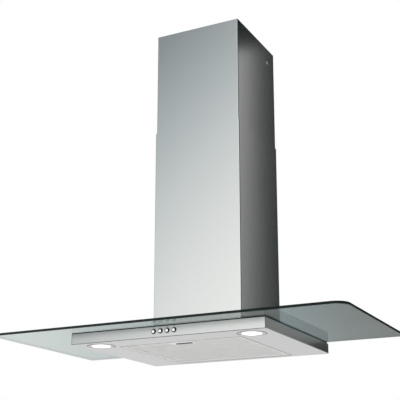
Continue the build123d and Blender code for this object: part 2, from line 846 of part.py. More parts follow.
# ------------------------------------------------------- grease filter
latch_bottom = floor_top + latch_lift
latch_top = latch_bottom + latch_thickness
with BuildPart() as filter_frame:
    block((-filter_half, filter_half), (filter_front, filter_rear), (filter_bottom, filter_top))
    block(
        (-filter_half + filter_shell, filter_half - filter_shell),
        (filter_front + filter_shell, filter_rear - filter_shell),
        (filter_bottom + filter_shell, filter_top - filter_shell),
        Mode.SUBTRACT,
    )
    block(
        (-filter_half + filter_border, filter_half - filter_border),
        (filter_front + filter_border, filter_rear - filter_rear_border),
        (filter_bottom, filter_top),
        Mode.SUBTRACT,
    )
    plate_half = handle_plate_width / 2
    block(
        (-plate_half, plate_half),
        (filter_front, filter_front + handle_plate_depth),
        (filter_bottom, filter_bottom + filter_shell),
    )
    block(
        (-handle_slot_width / 2, handle_slot_width / 2),
        (handle_y - handle_slot_depth / 2, handle_y + handle_slot_depth / 2),
        (filter_bottom, filter_bottom + filter_shell),
        Mode.SUBTRACT,
    )
    block(
        (-latch_width / 2 - latch_play, latch_width / 2 + latch_play),
        (filter_front, filter_front + filter_shell),
        (latch_bottom - latch_play, latch_top + latch_play),
        Mode.SUBTRACT,
    )
    hinge_z = underside + filter_hinge_height
    for side in (-1, 1):
        middle = side * tongue_spacing / 2
        block(
            (middle - tongue_width / 2, middle + tongue_width / 2),
            (filter_rear - filter_shell, filter_opening_rear + tongue_overlap),
            (hinge_z - sheet / 2, hinge_z + sheet / 2),
        )
        bead_start = (middle - tongue_width / 2, filter_opening_rear - tongue_bead_setback, hinge_z)
        rod("X", bead_start, tongue_bead_radius, tongue_width)
save(filter_frame, "filter_frame")

with BuildPart() as filter_mesh:
    inset = filter_shell + filter_mesh_clearance
    block(
        (-filter_half + inset, filter_half - inset),
        (filter_front + inset, filter_rear - inset - sheet),
        (filter_bottom + inset, filter_top - inset),
    )
    block(
        (-handle_plate_width / 2, handle_plate_width / 2),
        (filter_front, filter_front + handle_plate_depth),
        (filter_bottom, filter_top),
        Mode.SUBTRACT,
    )
save(filter_mesh, "filter_mesh")

# Sliding latch: a tongue over the pan's lip and a finger tab in the slot.
latch_front = filter_opening_front - latch_overlap
tab_front = handle_y - handle_slot_depth / 2 + latch_play
with BuildPart() as filter_latch:
    block(
        (-latch_width / 2, latch_width / 2),
        (latch_front, tab_front + latch_tab_thickness),
        (latch_bottom, latch_top),
    )
    block(
        (-latch_tab_width / 2, latch_tab_width / 2),
        (tab_front, tab_front + latch_tab_thickness),
        (filter_bottom + latch_play, latch_top),
    )
save(filter_latch, "filter_latch")

# ------------------------------------------------------- controls
button_back = body_front - button_stand + button_body
switch_front = button_back + button_travel + button_stop_gap
stem_end = button_back + button_stem_length
for x, name in zip(button_xs, button_names):
    with BuildPart() as button:
        rod("Y", (x, body_front - button_stand, button_z), button_radius, button_body)
        front_rim = button.edges().filter_by(GeomType.CIRCLE).sort_by(Axis.Y)[0]
        fillet(front_rim, button_round)
        rod("Y", (x, button_back, button_z), button_stem_radius, button_stem_length)
    save(button, f"button_{name}")

with BuildPart() as switch_block:
    block(
        (-switch_half, switch_half),
        (switch_front, switch_front + switch_depth),
        (floor_top + switch_lift, plate_bottom - switch_lift),
    )
    for x in button_xs:
        rod(
            "Y",
            (x, switch_front, button_z),
            button_stem_radius + stem_clearance,
            stem_end + button_travel + button_stop_gap - switch_front,
            Mode.SUBTRACT,
        )
    for side in (-1, 1):
        lug = sorted((side * switch_half, side * (switch_half + switch_margin)))
        block(lug, (pan_front + sheet, switch_front + switch_depth), (floor_top, floor_top + switch_lift))
        foot = sorted((side * (switch_half - switch_lift), side * switch_half))
        block(foot, (switch_front, switch_front + switch_depth), (floor_top, plate_bottom - switch_lift))
save(switch_block, "switch_block")

# ------------------------------------------------------- lamps
cup_inner = lamp_hole_radius
cup_top = plate_bottom - lamp_cup_gap
cover_bottom = underside - lamp_stand
cover_top = cover_bottom + lamp_cover_thickness
clip_orbit = lamp_radius - lamp_clip_inset
bulb_z = cup_top - lamp_cup_wall - bulb_base_height / 2
lens_seat = lamp_lens_radius - lamp_lens_lip

for side_name, side in (("left", -1), ("right", 1)):
    x = side * lamp_x

    with BuildPart() as lamp_ring:
        rod("Z", (x, lamp_y, cover_bottom), lamp_radius, lamp_cover_thickness)
        outer_rim = lamp_ring.edges().filter_by(GeomType.CIRCLE).sort_by(Axis.Z)[0]
        fillet(outer_rim, lamp_stand)
        rod("Z", (x, lamp_y, cover_bottom), lens_seat, lamp_cover_thickness, Mode.SUBTRACT)
        seat_depth = lamp_cover_thickness - sheet
        rod("Z", (x, lamp_y, cover_bottom + sheet), lamp_lens_radius, seat_depth, Mode.SUBTRACT)
        block(
            (x - lamp_radius, x - lamp_radius + lamp_notch_depth),
            (lamp_y - lamp_notch_width / 2, lamp_y + lamp_notch_width / 2),
            (cover_bottom, cover_top),
            Mode.SUBTRACT,
        )
        with BuildSketch(Plane.XY.offset(cover_top)):
            with Locations((x, lamp_y)):
                with PolarLocations(clip_orbit, lamp_clip_count):
                    Rectangle(sheet, lamp_clip_width)
        extrude(amount=lamp_clip_height)
    save(lamp_ring, f"lamp_ring_{side_name}")

    with BuildPart() as lamp_lens:
        rod("Z", (x, lamp_y, cover_bottom + sheet), lamp_lens_radius, lamp_lens_crown)
        rod("Z", (x, lamp_y, cover_bottom + sheet - lamp_stand), lens_seat, lamp_stand)
    save(lamp_lens, f"lamp_lens_{side_name}")

    with BuildPart() as lamp_holder:
        rod("Z", (x, lamp_y, floor_top), cup_inner + lamp_cup_flange, lamp_cup_wall)
        rod("Z", (x, lamp_y, floor_top), cup_inner + lamp_cup_wall, cup_top - floor_top)
        rod("Z", (x, lamp_y, floor_top), cup_inner, cup_top - lamp_cup_wall - floor_top, Mode.SUBTRACT)
    save(lamp_holder, f"lamp_holder_{side_name}")

    with BuildPart() as lamp_bulb:
        base_start = x - bulb_base_length - bulb_length / 2
        block(
            (base_start, base_start + bulb_base_length),
            (lamp_y - bulb_base_width / 2, lamp_y + bulb_base_width / 2),
            (bulb_z - bulb_base_height / 2, bulb_z + bulb_base_height / 2),
        )
        neck = base_start + bulb_base_length
        rod("X", (neck, lamp_y, bulb_z - bulb_neck_step), bulb_radius - bulb_neck_step, bulb_length)
        tip = lamp_bulb.edges().filter_by(GeomType.CIRCLE).sort_by(Axis.X)[-1]
        fillet(tip, bulb_tip_radius)
    save(lamp_bulb, f"lamp_bulb_{side_name}")
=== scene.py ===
import bmesh
import bpy
import math
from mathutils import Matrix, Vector


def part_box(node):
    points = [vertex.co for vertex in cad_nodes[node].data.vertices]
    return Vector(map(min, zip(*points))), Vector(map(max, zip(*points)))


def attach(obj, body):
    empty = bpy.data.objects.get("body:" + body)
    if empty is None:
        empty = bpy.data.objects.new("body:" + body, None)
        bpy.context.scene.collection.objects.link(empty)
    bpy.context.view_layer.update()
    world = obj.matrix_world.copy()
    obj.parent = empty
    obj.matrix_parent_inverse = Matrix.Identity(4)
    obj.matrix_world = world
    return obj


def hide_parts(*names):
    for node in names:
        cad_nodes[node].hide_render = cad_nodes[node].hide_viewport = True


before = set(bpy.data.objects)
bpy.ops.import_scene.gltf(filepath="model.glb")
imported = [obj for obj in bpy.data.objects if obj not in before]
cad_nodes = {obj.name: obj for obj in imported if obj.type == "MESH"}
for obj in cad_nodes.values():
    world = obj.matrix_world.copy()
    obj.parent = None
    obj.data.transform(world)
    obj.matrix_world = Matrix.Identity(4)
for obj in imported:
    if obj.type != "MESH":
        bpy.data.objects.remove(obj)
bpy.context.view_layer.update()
scene = bpy.context.scene

# ---------------------------------------------------------------- camera
# A long lens from below and to the right of the hood, turned a little up, with a small
# rise so that the uprights of the chimney stay nearly parallel.
camera_place = (1.047, -2.300, -0.622)
camera_yaw = 0.467
camera_pitch = 0.2705
camera_lens = 86.76
camera_rise = 0.10
camera_nearest = 0.05

camera_data = bpy.data.cameras.new("hood_camera")
camera_data.lens = camera_lens
camera_data.shift_y = camera_rise
camera_data.clip_start = camera_nearest
camera = bpy.data.objects.new("hood_camera", camera_data)
camera.location = camera_place
camera.rotation_euler = (math.pi / 2 + camera_pitch, 0, camera_yaw)
scene.collection.objects.link(camera)
scene.camera = camera
scene.view_settings.view_transform = "Standard"


# ---------------------------------------------------------------- studio
# A white room with soft boxes in front, to the left behind the hood, overhead and below. The
# wall to the right stays dark. White paper shows straight behind the hood, and matt surfaces
# get an even light, so the floor has the same paleness all over.
class Wire:
    """One socket's value, which Python's own sums turn into Math nodes."""

    def __init__(self, graph, socket):
        self.graph = graph
        self.socket = socket

    def _sum(self, operation, first, second):
        settings = {"operation": operation}
        return self.graph.add("ShaderNodeMath", settings, {0: first, 1: second}).wire()

    def __add__(self, other):
        return self._sum("ADD", self, other)

    def __radd__(self, other):
        return self._sum("ADD", other, self)

    def __rsub__(self, other):
        return self._sum("SUBTRACT", other, self)

    def __mul__(self, other):
        return self._sum("MULTIPLY", self, other)

    def __rmul__(self, other):
        return self._sum("MULTIPLY", other, self)

    def __gt__(self, other):
        return self._sum("GREATER_THAN", self, other)

    def __lt__(self, other):
        return self._sum("LESS_THAN", self, other)


class Placed:
    """A node that has been added to a graph."""

    def __init__(self, graph, node):
        self.graph = graph
        self.node = node

    def wire(self, output=0):
        return Wire(self.graph, self.node.outputs[output])


class Graph:
    """A node tree that grows one node at a time."""

    def __init__(self, tree):
        self.tree = tree

    def add(self, kind, settings=None, sockets=None):
        """Add a node: its settings first, then the values or links of its sockets."""
        node = self.tree.nodes.new(kind)
        for name, value in (settings or {}).items():
            setattr(node, name, value)
        for name, value in (sockets or {}).items():
            if isinstance(value, Placed):
                value = value.wire()
            if isinstance(value, Wire):
                self.tree.links.new(value.socket, node.inputs[name])
            else:
                node.inputs[name].default_value = value
        return Placed(self, node)

    def step(self, value, start, end, low=0.0, high=1.0):
        """A smooth rise from low to high as a value goes from start to end."""
        sockets = {0: value, 1: start, 2: end, 3: low, 4: high}
        return self.add("ShaderNodeMapRange", {"interpolation_type": "SMOOTHSTEP"}, sockets).wire()

    def blend(self, factor, first, second):
        """A colour between two others."""
        settings = {"data_type": "RGBA"}
        return self.add("ShaderNodeMix", settings, {0: factor, 6: first, 7: second}).wire(2)


def soft_box(graph, sight, turn, rise, inner, outer, strength):
    """Brightness of a round soft box seen in one direction, fading out at its rim."""
    turn = math.radians(turn)
    rise = math.radians(rise)
    aim = (-math.sin(turn) * math.cos(rise), math.cos(turn) * math.cos(rise), math.sin(rise))
    near = graph.add("ShaderNodeVectorMath", {"operation": "DOT_PRODUCT"}, {0: sight, 1: aim}).wire(1)
    rim = math.cos(math.radians(outer))
    core = math.cos(math.radians(inner))
    return graph.step(near, start=rim, end=core, low=0.0, high=strength)


room = bpy.data.worlds.new("studio_room")
room.use_nodes = True
room.node_tree.nodes.clear()
room_graph = Graph(room.node_tree)
sight = room_graph.add("ShaderNodeTexCoord").wire("Generated")
room_dim = 0.025
front_box = soft_box(room_graph, sight, turn=182, rise=-7, inner=22, outer=51.5, strength=2.05)
left_box = soft_box(room_graph, sight, turn=72, rise=0, inner=26, outer=60, strength=1.70)
top_box = soft_box(room_graph, sight, turn=0, rise=90, inner=15, outer=60, strength=0.45)
below_box = soft_box(room_graph, sight, turn=0, rise=-90, inner=66, outer=80, strength=2.2)
brightest_box = 1.52
boxes_lit = room_dim + front_box + left_box + top_box + below_box
glow = room_graph.add("ShaderNodeMath", {"operation": "MINIMUM"}, {0: boxes_lit, 1: brightest_box}).wire()
cool_shade = (0.76, 0.95, 1.03, 1.0)
warm_white = (1.0, 0.995, 0.975, 1.0)
deep_shade = (0.72, 1.0, 0.88, 1.0)
shade_colour = room_graph.blend(room_graph.step(glow, start=0.0, end=0.3), deep_shade, cool_shade)
room_colour = room_graph.blend(room_graph.step(glow, start=0.2, end=1.7), shade_colour, warm_white)
room_light = room_graph.add("ShaderNodeBackground", None, {"Strength": glow, "Color": room_colour})
even_fill = 1.08
plain_white = (1.0, 1.0, 1.0, 1.0)
room_fill = room_graph.add("ShaderNodeBackground", None, {"Strength": even_fill, "Color": plain_white})
room_paper = room_graph.add("ShaderNodeBackground", None, {"Strength": 1.0, "Color": plain_white})
ray = room_graph.add("ShaderNodeLightPath")
clear_faces_met = ray.wire("Transparent Depth")
clear_faces_let_by = 1.5
seen_bare = ray.wire("Is Camera Ray") * (clear_faces_met < clear_faces_let_by)
on_matt = ray.wire("Is Diffuse Ray")
room_soft = room_graph.add("ShaderNodeMixShader", None, {0: on_matt, 1: room_light, 2: room_fill})
room_mix = room_graph.add("ShaderNodeMixShader", None, {0: seen_bare, 1: room_soft, 2: room_paper})
room_graph.add("ShaderNodeOutputWorld", None, {"Surface": room_mix})
scene.world = room


def soft_light(label, place, target, width, height, power):
    """A rectangular soft light that points at a target."""
    lamp = bpy.data.lights.new(label, "AREA")
    lamp.shape = "RECTANGLE"
    lamp.size = width
    lamp.size_y = height
    lamp.energy = power
    holder = bpy.data.objects.new(label, lamp)
    holder.location = place
    aim = Vector(target) - Vector(place)
    holder.rotation_euler = aim.to_track_quat("-Z", "Y").to_euler()
    scene.collection.objects.link(holder)
    holder.visible_camera = False


soft_light(
    "light_below",
    place=(0.35, -0.9, -1.7),
    target=(0.0, -0.25, -0.25),
    width=1.8,
    height=1.4,
    power=12.0,
)
soft_light(
    "light_overhead",
    place=(0.0, -0.6, 2.1),
    target=(0.0, -0.6, -1.85),
    width=2.4,
    height=2.4,
    power=8.0,
)
soft_light(
    "light_right_card",
    place=(0.50, 0.44, 0.38),
    target=(0.12, -0.2, 0.16),
    width=0.18,
    height=0.95,
    power=0.30,
)

# ---------------------------------------------------------------- floor
# A plain pale floor well below the hood, which hangs at its working height over it. It is
# seen from above only, so that it never hides the hood.
floor_height = -1.85
floor_half = 40.0

floor_mesh = bpy.data.meshes.new("studio_floor")
floor_turns = ((-1, -1), (1, -1), (1, 1), (-1, 1))
floor_corners = [(x * floor_half, y * floor_half, floor_height) for x, y in floor_turns]
floor_mesh.from_pydata(floor_corners, [], [(0, 1, 2, 3)])
studio_floor = bpy.data.objects.new("studio_floor", floor_mesh)
scene.collection.objects.link(studio_floor)


class Finish(Graph):
    """A material's node tree with its surface shader and the places it reads."""

    def __init__(self, label, **constants):
        self.material = bpy.data.materials.new(label)
        self.material.use_nodes = True
        super().__init__(self.material.node_tree)
        self.tree.nodes.clear()
        self.surface = self.add("ShaderNodeBsdfPrincipled")
        self.output = self.add("ShaderNodeOutputMaterial", None, {"Surface": self.surface})
        self.place = self.add("ShaderNodeTexCoord").wire("Object")
        for name, value in constants.items():
            self.surface.node.inputs[name.replace("_", " ")].default_value = value

    def feed(self, name, value):
        """Link a value that changes over the surface to one of the shader's sockets."""
        self.tree.links.new(value.socket, self.surface.node.inputs[name])

    def show(self, shader):
        """Let another shader, such as a mix, be what is seen."""
        self.tree.links.new(shader.wire().socket, self.output.node.inputs["Surface"])

    def noise(self, scale, detail=2.0, roughness=0.5, stretch=None):
        """Soft noise, drawn out along an axis where stretch is smaller."""
        place = self.place
        if stretch:
            place = self.add("ShaderNodeMapping", None, {"Vector": place, "Scale": stretch}).wire()
        sockets = {"Vector": place, "Scale": scale, "Detail": detail, "Roughness": roughness}
        return self.add("ShaderNodeTexNoise", None, sockets).wire()

    def bump(self, height, strength, depth):
        """Give the surface a fine relief."""
        sockets = {"Height": height, "Strength": strength, "Distance": depth}
        self.feed("Normal", self.add("ShaderNodeBump", None, sockets).wire())


floor_finish = Finish("pale_floor")
floor_cloud = floor_finish.noise(scale=1.5)
floor_tone = floor_finish.blend(floor_cloud, (0.80, 0.80, 0.795, 1), (0.84, 0.84, 0.835, 1))
floor_finish.feed("Base Color", floor_tone)
floor_finish.feed("Roughness", 0.5 + 0.2 * floor_cloud)
floor_back = floor_finish.add("ShaderNodeNewGeometry").wire("Backfacing")
floor_clear = floor_finish.add("ShaderNodeBsdfTransparent")
floor_sides = {0: floor_back, 1: floor_finish.surface, 2: floor_clear}
floor_finish.show(floor_finish.add("ShaderNodeMixShader", None, floor_sides))
floor_mesh.materials.append(floor_finish.material)


# ---------------------------------------------------------------- brushed steel sheet
# Body, fascia and chimney covers are stainless sheet, brushed in one direction and folded.
# The grain is a long fine scratch pattern, with broad patches where the belt pressed harder.
def brushed_steel(label, across, along, gloss):
    """Stainless sheet whose grain runs along the axis with the smaller scale."""
    finish = Finish(label, Metallic=1.0)
    grain = finish.noise(scale=1.0, detail=3.0, roughness=0.6, stretch=across)
    scratch = finish.noise(scale=1.0, detail=1.0, roughness=0.4, stretch=along)
    patch = finish.noise(scale=2.2, detail=2.0)
    tone = 0.45 * grain + 0.2 * scratch + 0.35 * patch
    finish.feed("Base Color", finish.blend(tone, steel_dark, steel_light))
    finish.feed("Roughness", gloss + 0.02 * grain + 0.06 * patch)
    finish.bump(grain, strength=0.003, depth=0.0002)
    return finish.material


upright_fine = (640.0, 640.0, 5.0)
upright_coarse = (150.0, 150.0, 1.4)
level_fine = (5.0, 640.0, 640.0)
level_coarse = (1.4, 150.0, 150.0)
steel_dark = (0.585, 0.585, 0.58, 1)
steel_light = (0.635, 0.635, 0.63, 1)
upright_gloss = 0.185
level_gloss = 0.26
upright_steel = brushed_steel("brushed_steel_upright", upright_fine, upright_coarse, upright_gloss)
level_steel = brushed_steel("brushed_steel_level", level_fine, level_coarse, level_gloss)


def dress(finish, *labels):
    """Give CAD nodes their finish."""
    for label in labels:
        for slot in cad_nodes[label].material_slots:
            slot.material = finish


dress(upright_steel, "lower_chimney", "upper_chimney")
dress(level_steel, "body_pan", "front_fascia")

# ---------------------------------------------------------------- galvanised sheet
# Blower box, top plate, brackets and clips are hot-dip galvanised, with large zinc flowers
# of slightly different greys and a dull, uneven gloss.
zinc = Finish("galvanised_sheet", Metallic=1.0)
flower_place = zinc.add("ShaderNodeMapping", None, {"Vector": zinc.place, "Scale": (1.0, 1.0, 0.7)}).wire()
flower_sockets = {"Vector": flower_place, "Scale": 75.0}
flower = zinc.add("ShaderNodeTexVoronoi", None, flower_sockets).wire("Color")
flower_grey = zinc.add("ShaderNodeSeparateColor", None, {0: flower}).wire(0)
zinc_fine = zinc.noise(scale=260.0, detail=4.0, roughness=0.7)
zinc_tone = 0.65 * flower_grey + 0.35 * zinc_fine
zinc.feed("Base Color", zinc.blend(zinc_tone, (0.36, 0.38, 0.40, 1), (0.62, 0.64, 0.65, 1)))
zinc.feed("Roughness", 0.30 + 0.22 * flower_grey + 0.10 * zinc_fine)
zinc.bump(zinc_fine, strength=0.10, depth=0.0004)
dress(zinc.material, "blower_box", "body_top_plate", "upper_bracket", "chimney_clips", "motor_bracket")

# ---------------------------------------------------------------- glass canopy
# One sheet of 6 mm toughened glass with ground edges. The sheet is clear with a grey-green
# cast; looked into from the side, its edges are nearly black-green.
glass = Finish("canopy_glass", IOR=1.52)
glass_up = glass.add("ShaderNodeNewGeometry")
glass_normal = glass.add("ShaderNodeSeparateXYZ", None, {0: glass_up.wire("True Normal")}).wire("Z")
flat = glass.step(glass_normal * glass_normal, start=0.55, end=0.95)
front_side = 1.0 - glass_up.wire("Backfacing")
glass_smear = glass.noise(scale=5.0, detail=3.0)
sheet_gloss = glass.add("ShaderNodeFresnel", None, {"IOR": 1.66}).wire()
sheet_share = sheet_gloss * front_side + 0.06 + 0.04 * glass_smear
edge_share = 0.22 + 0.76 * front_side
body_share = flat * sheet_share + (1.0 - flat) * edge_share
glass.feed("Base Color", glass.blend(flat, (0.004, 0.008, 0.007, 1), (0.10, 0.13, 0.12, 1)))
glass.feed("Roughness", 0.02 + 0.05 * glass_smear)
clear = glass.add("ShaderNodeBsdfTransparent", None, {"Color": (0.765, 0.80, 0.795, 1)})
edge_colour = glass.blend(glass_smear, (0.002, 0.006, 0.005, 1), (0.008, 0.016, 0.013, 1))
edge_sockets = {"Base Color": edge_colour, "Roughness": 0.5, "Specular IOR Level": 0.12}
ground_edge = glass.add("ShaderNodeBsdfPrincipled", None, edge_sockets)
solid_glass = glass.add("ShaderNodeMixShader", None, {0: flat, 1: ground_edge, 2: glass.surface})
glass_mix = glass.add("ShaderNodeMixShader", None, {0: body_share, 1: clear, 2: solid_glass})
glass.show(glass_mix)
dress(glass.material, "glass_panel")

# ---------------------------------------------------------------- rubber seals
# Black sponge rubber strips, cut from sheet and glued down, with a matt open skin.
rubber = Finish("black_rubber", Specular_IOR_Level=0.2)
rubber_skin = rubber.noise(scale=900.0, detail=4.0, roughness=0.7)
rubber.feed("Base Color", rubber.blend(rubber_skin, (0.003, 0.003, 0.003, 1), (0.010, 0.010, 0.011, 1)))
rubber.feed("Roughness", 0.62 + 0.25 * rubber_skin)
rubber.bump(rubber_skin, strength=0.4, depth=0.0006)
dress(rubber.material, "body_seal", "inlet_seal", "blower_seal")


# ---------------------------------------------------------------- moulded plastics
# The scroll, wheel, duct collar and flaps are grey polypropylene with a fine eroded
# texture; the terminal box is white and the switch block and gland are black.
def moulded_plastic(label, dark, light, gloss):
    """Moulded plastic with a fine spark-eroded skin and faint flow marks."""
    finish = Finish(label, IOR=1.48)
    skin = finish.noise(scale=1400.0, detail=2.0)
    flow = finish.noise(scale=14.0, detail=4.0, roughness=0.6)
    finish.feed("Base Color", finish.blend(0.7 * flow + 0.3 * skin, dark, light))
    finish.feed("Roughness", gloss + 0.18 * skin + 0.08 * flow)
    finish.bump(skin, strength=0.22, depth=0.0003)
    return finish.material


grey_plastic = moulded_plastic("grey_polypropylene", (0.10, 0.105, 0.11, 1), (0.17, 0.175, 0.18, 1), 0.36)
white_plastic = moulded_plastic("white_polyamide", (0.62, 0.62, 0.60, 1), (0.74, 0.74, 0.72, 1), 0.34)
black_plastic = moulded_plastic("black_polyamide", (0.012, 0.012, 0.013, 1), (0.035, 0.035, 0.037, 1), 0.38)
dress(grey_plastic, "scroll_left", "scroll_right", "outlet_collar", "flap_front", "flap_rear")
dress(grey_plastic, "impeller_disc", "impeller_left", "impeller_right")
dress(white_plastic, "terminal_box", "terminal_lid")
dress(black_plastic, "cable_gland", "switch_block", "capacitor_clip")

# ---------------------------------------------------------------- motor and shaft
# The motor shell is die-cast aluminium, shot-blasted, with grooves for cooling. Its shaft
# is ground steel and the capacitor beside it is a drawn aluminium can.
cast = Finish("cast_aluminium", Metallic=1.0)
cast_skin = cast.noise(scale=700.0, detail=5.0, roughness=0.75)
cast_cloud = cast.noise(scale=30.0, detail=3.0)
cast_tone = 0.5 * cast_skin + 0.5 * cast_cloud
cast.feed("Base Color", cast.blend(cast_tone, (0.34, 0.34, 0.35, 1), (0.56, 0.56, 0.57, 1)))
cast.feed("Roughness", 0.42 + 0.25 * cast_skin)
cast.bump(cast_skin, strength=0.35, depth=0.0005)
ground = Finish("ground_shaft_steel", Metallic=1.0)
ground_turn = ground.noise(scale=1.0, detail=2.0, roughness=0.5, stretch=(1800.0, 40.0, 40.0))
ground.feed("Base Color", ground.blend(ground_turn, (0.42, 0.42, 0.43, 1), (0.60, 0.60, 0.61, 1)))
ground.feed("Roughness", 0.16 + 0.12 * ground_turn)
can = Finish("drawn_aluminium_can", Metallic=1.0)
can_line = can.noise(scale=1.0, detail=2.0, roughness=0.5, stretch=(300.0, 300.0, 8.0))
can.feed("Base Color", can.blend(can_line, (0.60, 0.61, 0.62, 1), (0.78, 0.79, 0.80, 1)))
can.feed("Roughness", 0.25 + 0.15 * can_line)
dress(cast.material, "motor_body")
dress(ground.material, "motor_shaft")
dress(can.material, "capacitor")

# ---------------------------------------------------------------- grease filter
# A removable cassette: a folded aluminium frame round several layers of expanded aluminium
# mesh. The finger slot and spring latch are at its front edge.
filter_alloy = Finish("anodised_filter_frame", Metallic=1.0)
alloy_line = filter_alloy.noise(scale=1.0, detail=2.0, roughness=0.5, stretch=(6.0, 420.0, 420.0))
alloy_cloud = filter_alloy.noise(scale=9.0, detail=3.0)
alloy_tone = 0.6 * alloy_line + 0.4 * alloy_cloud
alloy_colour = filter_alloy.blend(alloy_tone, (0.80, 0.80, 0.795, 1), (0.92, 0.92, 0.915, 1))
filter_alloy.feed("Base Color", alloy_colour)
filter_alloy.feed("Roughness", 0.20 + 0.10 * alloy_line)
filter_alloy.bump(alloy_line, strength=0.08, depth=0.0003)
dress(filter_alloy.material, "filter_frame")

pad = Finish("mesh_layers", Metallic=1.0)
pad_place = pad.add("ShaderNodeMapping", None, {"Vector": pad.place, "Rotation": (0, 0, 0.5)}).wire()
pad_cell_scale = 420.0
pad_sockets = {"Vector": pad_place, "Scale": pad_cell_scale}
pad_cells = pad.add("ShaderNodeTexVoronoi", {"feature": "DISTANCE_TO_EDGE"}, pad_sockets).wire()
pad_wire = 1.0 - pad.step(pad_cells, start=0.05, end=0.22)
pad_cloud = pad.noise(scale=24.0, detail=3.0)
pad.feed("Base Color", pad.blend(pad_wire, (0.64, 0.64, 0.63, 1), (0.95, 0.95, 0.94, 1)))
pad.feed("Roughness", 0.30 + 0.10 * pad_cloud)
pad.bump(pad_wire, strength=0.10, depth=0.0004)
dress(pad.material, "filter_mesh")


def grown_piece(label, tree, sizes, points):
    """Run a geometry tree on a cloud of points and keep the result as a plain mesh at the origin."""
    cloud = bpy.data.meshes.new(label)
    cloud.from_pydata(points, [], [])
    piece = bpy.data.objects.new(label, cloud)
    scene.collection.objects.link(piece)
    growth = piece.modifiers.new("growth", "NODES")
    growth.node_group = tree
    for item in tree.interface.items_tree:
        if item.item_type == "SOCKET" and item.in_out == "INPUT" and item.name in sizes:
            growth[item.identifier] = sizes[item.name]
    bpy.context.view_layer.update()
    seen = piece.evaluated_get(bpy.context.evaluated_depsgraph_get())
    solid = bpy.data.meshes.new_from_object(seen)
    piece.modifiers.clear()
    piece.data = solid
    return piece


class Growth(Graph):
    """A geometry tree with named inputs, which ends in real faces with a material."""

    def __init__(self, label, sizes):
        super().__init__(bpy.data.node_groups.new(label, "GeometryNodeTree"))
        self.tree.interface.new_socket("Geometry", in_out="INPUT", socket_type="NodeSocketGeometry")
        self.tree.interface.new_socket("Geometry", in_out="OUTPUT", socket_type="NodeSocketGeometry")
        for name, kind in sizes.items():
            self.tree.interface.new_socket(name, in_out="INPUT", socket_type=kind)
        self.given = self.add("NodeGroupInput")

    def size(self, name):
        return self.given.wire(name)

    def end(self, shape, finish):
        """Make the instances real, give them their material and close the tree."""
        real = self.add("GeometryNodeRealizeInstances", None, {0: shape})
        dressed = self.add("GeometryNodeSetMaterial", None, {0: real, "Material": finish})
        self.add("NodeGroupOutput", None, {0: dressed})


# The face of the cassette is one sheet of expanded metal: slit, stretched into diamonds and
# left with its strands slightly tipped. It stops short of the handle plate.
mesh_long_pitch = 0.0062
mesh_short_pitch = 0.0042
mesh_strand = 0.00075
mesh_gauge = 0.0004
mesh_tip = math.radians(4)
mesh_margin = 0.0065
mesh_rear_margin = 0.0115
mesh_depth_in_frame = 0.0006
plate_room = 0.0035
plate_half_width = 0.030
plate_length = 0.032

strand_tree = Growth("expanded_mesh", {
    "Long Pitch": "NodeSocketFloat",
    "Short Pitch": "NodeSocketFloat",
    "Strand": "NodeSocketFloat",
    "Gauge": "NodeSocketFloat",
    "Tip": "NodeSocketVector",
})
four_corners = strand_tree.add("GeometryNodeCurvePrimitiveCircle", None, {"Resolution": 4, "Radius": 0.5})
diamond_size = strand_tree.add("ShaderNodeCombineXYZ", None, {
    "X": strand_tree.size("Long Pitch"),
    "Y": strand_tree.size("Short Pitch"),
    "Z": 1.0,
})
diamond = strand_tree.add("GeometryNodeTransform", None, {"Geometry": four_corners, "Scale": diamond_size})
strand_section = strand_tree.add("GeometryNodeCurvePrimitiveQuadrilateral", None, {
    "Width": strand_tree.size("Strand"),
    "Height": strand_tree.size("Gauge"),
})
cell = strand_tree.add("GeometryNodeCurveToMesh", None, {"Curve": diamond, "Profile Curve": strand_section})
sheet_cells = strand_tree.add("GeometryNodeInstanceOnPoints", None, {
    "Points": strand_tree.size("Geometry"),
    "Instance": cell,
    "Rotation": strand_tree.size("Tip"),
})
strand_finish = Finish("expanded_aluminium", Metallic=1.0)
strand_cloud = strand_finish.noise(scale=35.0, detail=3.0)
strand_tone = strand_finish.blend(strand_cloud, (0.72, 0.72, 0.71, 1), (0.86, 0.86, 0.85, 1))
strand_finish.feed("Base Color", strand_tone)
strand_finish.feed("Roughness", 0.30 + 0.20 * strand_cloud)
strand_tree.end(sheet_cells, strand_finish.material)

frame_low, frame_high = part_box("filter_frame")
mesh_left = frame_low.x + mesh_margin
mesh_right = frame_high.x - mesh_margin
mesh_front = frame_low.y + mesh_margin
mesh_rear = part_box("filter_mesh")[1].y - mesh_rear_margin + mesh_margin
mesh_columns = int((mesh_right - mesh_left) / mesh_long_pitch)
mesh_rows = int((mesh_rear - mesh_front) / mesh_short_pitch)
mesh_start_x = (mesh_left + mesh_right - (mesh_columns - 1) * mesh_long_pitch) / 2
mesh_start_y = (mesh_front + mesh_rear - (mesh_rows - 1) * mesh_short_pitch) / 2
cell_points = []
for row in range(mesh_rows):
    for column in range(mesh_columns):
        x = mesh_start_x + column * mesh_long_pitch
        y = mesh_start_y + row * mesh_short_pitch
        beside_plate = abs(x) > plate_half_width + plate_room
        behind_plate = y > frame_low.y + plate_length + plate_room
        if beside_plate or behind_plate:
            cell_points.append((x, y, frame_low.z + mesh_depth_in_frame))
expanded_mesh = grown_piece("filter_expanded_mesh", strand_tree.tree, {
    "Long Pitch": mesh_long_pitch,
    "Short Pitch": mesh_short_pitch,
    "Strand": mesh_strand,
    "Gauge": mesh_gauge,
    "Tip": (mesh_tip, 0.0, 0.0),
}, cell_points)
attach(expanded_mesh, "filter")

